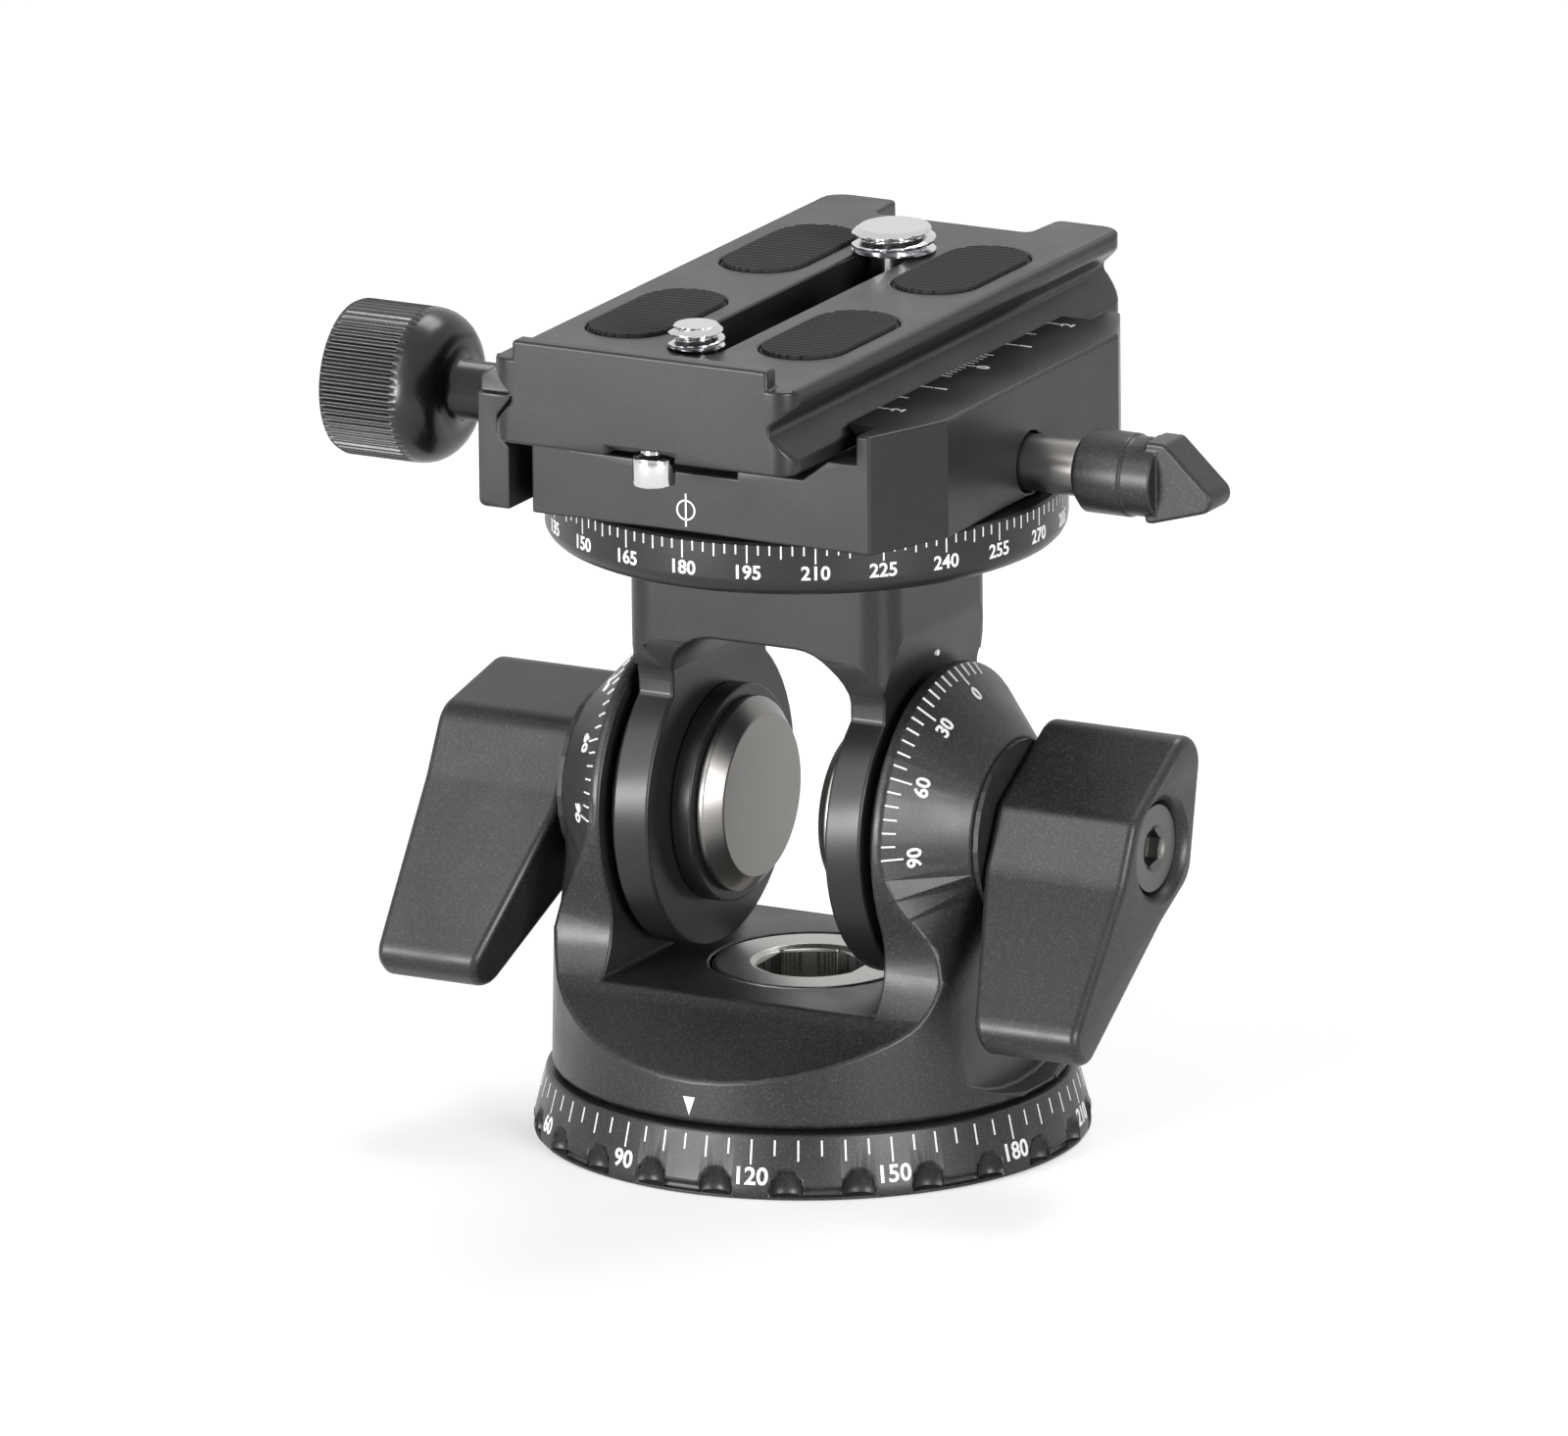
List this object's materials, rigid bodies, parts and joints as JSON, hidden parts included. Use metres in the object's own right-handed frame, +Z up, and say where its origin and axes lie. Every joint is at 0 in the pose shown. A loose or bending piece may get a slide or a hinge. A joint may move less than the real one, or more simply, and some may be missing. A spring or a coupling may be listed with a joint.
{
  "type": "tilt head",
  "caption": "Tilt head: forked housing on a turning base, yoke between two wing knobs, turning disc clamp with a knob-driven jaw and a dovetail camera plate.",
  "frame": {"origin": "centre of the base's flat underside, where the axis of the support's stud meets it", "axes": "+Z up along the pan axis, +X along the tilt axis towards the pan-lock knob, -Y is the front"},
  "size_m": [0.1101, 0.0809, 0.0992],
  "materials": {
    "black_anodised": "black anodised, satin",
    "black_blasted": "black anodised over a fine sand-blasted grain",
    "steel": "turned and brushed",
    "chrome": "bright plated",
    "pad_rubber": "ribbed rubber",
    "low_friction": "plain sliding plastic"
  },
  "bodies": {
    "base": {"base_ring": "black_blasted", "base_bolt": "steel", "base_washer": "low_friction"},
    "housing": {"tilt_housing": "black_blasted", "left_thrust_washer": "low_friction", "right_thrust_washer": "low_friction"},
    "left_knob": {"left_wing_knob": "black_blasted", "left_knob_screw": "steel"},
    "right_knob": {"right_wing_knob": "black_blasted", "right_knob_screw": "steel"},
    "yoke": {"tilt_yoke": "black_anodised", "left_pivot_bolt": "steel", "right_pivot_bolt": "steel", "left_boss_ring": "black_anodised", "right_boss_ring": "black_anodised", "left_friction_washer": "low_friction", "right_friction_washer": "low_friction", "pan_disc": "black_anodised", "pan_washer": "low_friction", "pan_retainer": "steel", "pan_bolt": "steel"},
    "clamp": {"clamp_body": "black_anodised"},
    "lock_shoe": {"brake_shoe": "steel"},
    "pan_lock": {"pan_lock_knob": "black_blasted", "pan_lock_stud": "steel"},
    "jaw": {"moving_jaw": "black_anodised", "front_guide_pin": "steel", "rear_guide_pin": "steel"},
    "jaw_knob": {"clamp_knob": "black_blasted", "clamp_screw": "steel", "clamp_washer": "low_friction"},
    "quick_plate": {"plate": "black_anodised", "front_left_pad": "pad_rubber", "front_right_pad": "pad_rubber", "rear_left_pad": "pad_rubber", "rear_right_pad": "pad_rubber", "stop_screw": "chrome"},
    "large_slider": {"large_screw_washer": "steel"},
    "large_screw": {"large_camera_screw": "chrome"},
    "small_slider": {"small_screw_washer": "steel"},
    "small_screw": {"small_camera_screw": "chrome"}
  },
  "joints": [
    {"name": "base_pan", "type": "hinge", "parent": "base", "child": "housing", "pos_m": [0, 0, 0.0073], "axis": [0, 0, 1], "continuous": true},
    {"name": "tilt", "type": "hinge", "parent": "housing", "child": "yoke", "pos_m": [0, 0, 0.0375], "axis": [1, 0, 0], "range_deg": [-90, 90]},
    {"name": "left_knob_turn", "type": "hinge", "parent": "housing", "child": "left_knob", "pos_m": [-0.027, 0, 0.0375], "axis": [-1, 0, 0], "range_deg": [0, 180]},
    {"name": "right_knob_turn", "type": "hinge", "parent": "housing", "child": "right_knob", "pos_m": [0.027, 0, 0.0375], "axis": [1, 0, 0], "range_deg": [0, 180]},
    {"name": "head_pan", "type": "hinge", "parent": "yoke", "child": "clamp", "pos_m": [0, 0, 0.0755], "axis": [0, 0, 1], "continuous": true},
    {"name": "pan_lock_turn", "type": "hinge", "parent": "clamp", "child": "pan_lock", "pos_m": [0.0343, 0.0022, 0.07975], "axis": [1, 0, 0], "range_deg": [0, 180]},
    {"name": "shoe_slide", "type": "slide", "parent": "clamp", "child": "lock_shoe", "axis": [1, 0, 0], "range_m": [0, 0.0002]},
    {"name": "jaw_slide", "type": "slide", "parent": "clamp", "child": "jaw", "axis": [-1, 0, 0], "range_m": [0, 0.004]},
    {"name": "jaw_knob_turn", "type": "hinge", "parent": "jaw", "child": "jaw_knob", "pos_m": [-0.0464, 0.0022, 0.07975], "axis": [-1, 0, 0], "range_deg": [0, 1440]},
    {"name": "plate_slide", "type": "slide", "parent": "clamp", "child": "quick_plate", "axis": [0, 1, 0], "range_m": [-0.02, 0.0039]},
    {"name": "large_screw_slide", "type": "slide", "parent": "quick_plate", "child": "large_slider", "axis": [0, 1, 0], "range_m": [-0.014, 0.002]},
    {"name": "large_screw_turn", "type": "hinge", "parent": "large_slider", "child": "large_screw", "pos_m": [-0.0004, 0.0223, 0.0962], "axis": [0, 0, 1], "continuous": true},
    {"name": "small_screw_slide", "type": "slide", "parent": "quick_plate", "child": "small_slider", "axis": [0, 1, 0], "range_m": [0, 0.016]},
    {"name": "small_screw_turn", "type": "hinge", "parent": "small_slider", "child": "small_screw", "pos_m": [-0.0004, -0.0247, 0.0962], "axis": [0, 0, 1], "continuous": true}
  ],
  "couplings": [
    {"joint": "jaw_knob_turn", "follows": "jaw_slide", "rad_per_m": 6283.2},
    {"joint": "pan_lock_turn", "follows": "shoe_slide", "rad_per_m": 15708}
  ]
}
